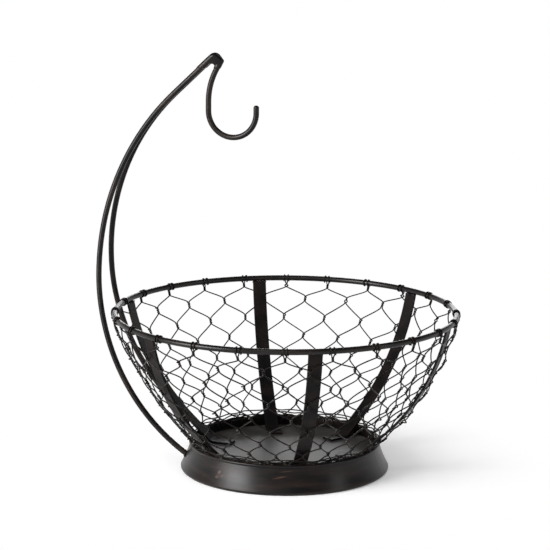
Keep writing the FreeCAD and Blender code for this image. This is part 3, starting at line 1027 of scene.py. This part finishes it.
@dataclass
class WeldBead:
    """A small bead of weld metal, run along a short line of places."""

    name: str
    places: list[Place]
    radius: float
    slot: str
    grit: float = 0.35
    shake: float = 0.3
    squash: Span = (0.8, 1.2)
    skin_grain: float = 0.35
    softening: int = 4

    def drop(self, place: Place, dice: random.Random) -> Piece:
        """One drop of weld metal, a little off its place and out of round.

        Args:
            place: Its place.
            dice: Source of its differences.

        Returns:
            The drop.
        """
        bpy.ops.object.select_all(action="DESELECT")
        radius = self.radius * dice.uniform(1 - self.grit, 1 + self.grit / 2) * MM
        moves = [dice.uniform(-self.shake, self.shake) * self.radius * MM for _ in place]
        spot = [value * MM + move for value, move in zip(place, moves)]
        bpy.ops.mesh.primitive_ico_sphere_add(subdivisions=3, radius=radius, location=spot)
        bpy.ops.object.mode_set(mode="EDIT")
        bpy.ops.mesh.select_all(action="SELECT")
        bpy.ops.transform.resize(value=[dice.uniform(*self.squash) for _ in place])
        bpy.ops.object.mode_set(mode="OBJECT")
        return bpy.context.view_layer.objects.active

    def build(self, dice: random.Random) -> Piece:
        """Models the bead from overlapping drops that are fused into one skin.

        Args:
            dice: Source of the drops' differences.

        Returns:
            The finished bead.
        """
        bead = joined(self.name, *[self.drop(place, dice) for place in self.places])
        apply_modifier(bead, "REMESH", mode="VOXEL", voxel_size=self.skin_grain * MM)
        apply_modifier(bead, "SMOOTH", factor=0.5, iterations=self.softening)
        close_skin(bead, 0.001)
        return bead


@dataclass
class Welds:
    """Every bead of weld metal that shows."""

    foot_radius: float = 1.8
    foot_height: float = 3.0
    foot_drops: tuple[Place, ...] = (
        (0.4, 2.0, 0.6),
        (0.4, -2.0, 0.6),
        (0.9, 1.1, -1.3),
        (0.9, -1.1, -1.3),
        (0.2, 0.0, 2.3),
    )
    rib_count: int = 6
    rib_start: float = 180.0
    rib_pitch: float = 60.0
    rib_bead_radius: float = 1.0
    rib_end_radius: float = 148.0
    rib_end_height: float = 137.4
    rib_drops: int = 4
    rib_first_drop: float = 5.6
    rib_drop_pitch: float = 1.2
    seed: int = 7

    def foot_places(self, node: str) -> list[Place]:
        """Places of the drops where the foot of a leg meets the base ring.

        Args:
            node: The leg's node.

        Returns:
            The places, on the leg's inner side and beside it.
        """
        corners = [vertex.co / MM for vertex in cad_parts[node].data.vertices]
        ground = min(corner.z for corner in corners)
        foot = [corner for corner in corners if corner.z < ground + self.foot_height]
        middle = sum(foot, Vector()) / len(foot)
        inward = -Vector((middle.x, middle.y, 0)).normalized()
        along = Vector((-inward.y, inward.x, 0))
        return [
            tuple(middle + inward * ahead + along * aside + UP * rise)
            for ahead, aside, rise in self.foot_drops
        ]

    def rib_places(self, number: int, side: int) -> list[Place]:
        """Places of the drops beside a rib's top end, under the rim rod.

        Args:
            number: The rib's number, from 0.
            side: Its left side as -1, its right side as 1.

        Returns:
            The places, from the rib's edge inward.
        """
        outward, along = ring_axes(self.rib_start + self.rib_pitch * number)
        places = []
        for step in range(self.rib_drops):
            aside = side * (self.rib_first_drop - step * self.rib_drop_pitch)
            spot = outward * self.rib_end_radius + along * aside
            places.append((spot.x, spot.y, self.rib_end_height))
        return places

    def beads(self) -> list[WeldBead]:
        """All the beads, not yet modelled: one at each leg's foot and two at each rib's top end."""
        found = []
        for word in ("front", "back"):
            places = self.foot_places(f"hanger_leg_{word}")
            found.append(WeldBead(f"foot_weld_{word}", places, self.foot_radius, "hanger_rod"))
        for number in range(self.rib_count):
            for word, side in (("a", -1), ("b", 1)):
                name = f"rib_weld_{number + 1}{word}"
                found.append(WeldBead(name, self.rib_places(number, side), self.rib_bead_radius, "rim_rod"))
        return found

    def make_all(self, finish: Finish) -> None:
        """Builds the beads, and lets each ride on the part.

        Args:
            finish: The weld metal's material.
        """
        dice = random.Random(self.seed)
        for bead in self.beads():
            hand_over(bead.build(dice), finish)


# Studio


@dataclass(frozen=True)
class SoftBox:
    """An oblong lamp that looks at the bowl, with its turn counted from the camera's side."""

    name: str
    turn: float
    height: float
    distance: float
    width: float
    depth: float
    power: float


@dataclass
class Studio:
    """Floor, background, lamps and the camera at the photograph's angle.

    The camera's turn, distance and height are from a fit to the photograph, with its yaw, pitch and
    roll in radians and its focal length in pixels of the photograph.
    """

    camera_turn: float = 20.4
    camera_distance: float = 2120.15
    camera_height: float = 611.69
    yaw: float = -0.0045
    pitch: float = 0.2035
    roll: float = 0.0063
    focal_pixels: float = 2470.25
    image_pixels: float = 550.0
    sensor: float = 36.0
    camera_reach: float = 50.0
    world_diffuse: float = 0.38
    ceiling_start: float = 0.10
    ceiling_full: float = 0.42
    ceiling_dark: float = 0.85
    floor_size: float = 8.0
    floor_colour: Colour = (0.93, 0.93, 0.93)
    floor_lift: float = 0.20
    shadow_reach: float = 0.24
    aim_height: float = 0.15
    boxes: tuple[SoftBox, ...] = (
        SoftBox("key_box", turn=-57.0, height=1.10, distance=2.0, width=0.95, depth=0.95, power=36.0),
        SoftBox("left_low_box", turn=-60.0, height=0.38, distance=1.5, width=0.8, depth=0.6, power=13.0),
        SoftBox("right_box", turn=65.0, height=1.05, distance=2.0, width=0.35, depth=0.8, power=4.0),
        SoftBox("front_top_box", turn=-12.0, height=1.75, distance=1.4, width=0.9, depth=0.5, power=6.0),
        SoftBox("back_box", turn=180.0, height=0.62, distance=2.3, width=1.6, depth=0.5, power=10.0),
    )

    def build_camera(self) -> None:
        """Places the camera by the fit to the photograph."""
        outward, right_0 = ring_axes(self.camera_turn - 90)
        ahead_0 = -outward
        place = outward * self.camera_distance + UP * self.camera_height
        ahead = ahead_0 * math.cos(self.yaw) + right_0 * math.sin(self.yaw)
        right = right_0 * math.cos(self.yaw) - ahead_0 * math.sin(self.yaw)
        view = ahead * math.cos(self.pitch) - UP * math.sin(self.pitch)
        top = ahead * math.sin(self.pitch) + UP * math.cos(self.pitch)
        across = right * math.cos(self.roll) + top * math.sin(self.roll)
        up = top * math.cos(self.roll) - right * math.sin(self.roll)
        data = bpy.data.cameras.new("camera")
        data.sensor_width = self.sensor
        data.lens = self.focal_pixels / self.image_pixels * self.sensor
        data.clip_end = self.camera_reach
        camera = bpy.data.objects.new("camera", data)
        bpy.context.scene.collection.objects.link(camera)
        turned = Matrix((across, up, -view)).transposed().to_4x4()
        camera.matrix_world = Matrix.Translation(place * MM) @ turned
        bpy.context.scene.camera = camera

    def build_lamps(self) -> None:
        """Hangs the soft boxes round the bowl, each turned to its middle."""
        aim = UP * self.aim_height
        for box in self.boxes:
            data = bpy.data.lights.new(box.name, "AREA")
            data.shape = "RECTANGLE"
            data.size = box.width
            data.size_y = box.depth
            data.energy = box.power
            lamp = bpy.data.objects.new(box.name, data)
            bpy.context.scene.collection.objects.link(lamp)
            outward, _ = ring_axes(self.camera_turn - 90 + box.turn)
            lamp.location = outward * box.distance + UP * box.height
            lamp.rotation_euler = (aim - lamp.location).to_track_quat("-Z", "Y").to_euler()
            lamp.visible_camera = False

    def seen_rays(self, desk: NodeDesk) -> tuple[Socket, Socket]:
        """The rays that show the white background, as against those that only bring light.

        Args:
            desk: The desk of the floor's material or of the world.

        Returns:
            One for a mirrored ray, and one for any ray that shows the background.
        """
        path = desk.node("ShaderNodeLightPath").outputs
        bent = desk.math("MAXIMUM", path["Is Glossy Ray"], path["Is Transmission Ray"])
        return path["Is Glossy Ray"], desk.math("MAXIMUM", path["Is Camera Ray"], bent)

    def build_world(self) -> None:
        """White for the camera, white in reflections up to a darker ceiling, and softer as a light."""
        world = bpy.data.worlds.new("studio")
        bpy.context.scene.world = world
        desk = NodeDesk(world)
        glossy, seen = self.seen_rays(desk)
        level = desk.math("ADD", desk.math("MULTIPLY", seen, 1 - self.world_diffuse), self.world_diffuse)
        height = desk.dot(desk.node("ShaderNodeTexCoord").outputs["Generated"], UP)
        ceiling = desk.ramp(height, self.ceiling_start, self.ceiling_full)
        shade = desk.math("MULTIPLY", desk.math("MULTIPLY", ceiling, self.ceiling_dark), glossy)
        light = {"Color": (1, 1, 1), "Strength": desk.math("SUBTRACT", level, shade)}
        desk.node("ShaderNodeOutputWorld", {"Surface": desk.node("ShaderNodeBackground", light).outputs[0]})

    def floor_material(self) -> Finish:
        """Pale floor that keeps the shadow near the bowl and fades into the white further out.

        Returns:
            The material.
        """
        material = bpy.data.materials.new("studio_floor")
        desk = NodeDesk(material)
        place = desk.node("ShaderNodeTexCoord").outputs["Object"]
        far = desk.node("ShaderNodeVectorMath", {0: place}, operation="LENGTH").outputs["Value"]
        fade = desk.ramp(far, self.shadow_reach / 2, self.shadow_reach)
        _, seen = self.seen_rays(desk)
        paint = desk.node("ShaderNodeBsdfDiffuse", {"Color": self.floor_colour}).outputs[0]
        glow = {"Strength": desk.math("MULTIPLY", seen, self.floor_lift)}
        lift = desk.node("ShaderNodeEmission", glow).outputs[0]
        lifted = desk.node("ShaderNodeAddShader", {0: paint, 1: lift}).outputs[0]
        white = desk.node("ShaderNodeEmission").outputs[0]
        blend = {0: desk.math("MULTIPLY", fade, seen), 1: lifted, 2: white}
        mixed = desk.node("ShaderNodeMixShader", blend).outputs[0]
        desk.node("ShaderNodeOutputMaterial", {"Surface": mixed})
        return material

    def build_floor(self) -> None:
        """Lays the floor under the base ring."""
        bpy.ops.object.select_all(action="DESELECT")
        bpy.ops.mesh.primitive_plane_add(size=self.floor_size)
        floor = bpy.context.view_layer.objects.active
        floor.name = "studio_floor"
        dress(floor, self.floor_material())

    def build(self) -> None:
        """Sets up the whole studio."""
        self.build_floor()
        self.build_world()
        self.build_lamps()
        self.build_camera()
        bpy.context.scene.view_settings.view_transform = "Standard"


def main() -> None:
    """Builds every sub-assembly in order."""
    logging.basicConfig(level=logging.INFO, format="%(message)s")
    finishes = FinishSet()
    SteelFrame(finishes).dress_all()
    HangerNose().make_all(finishes.hanger.build())
    WireNetting().make_all(finishes.wire.build())
    Welds().make_all(finishes.weld.build())
    Studio().build()


if __name__ == "__main__":
    main()
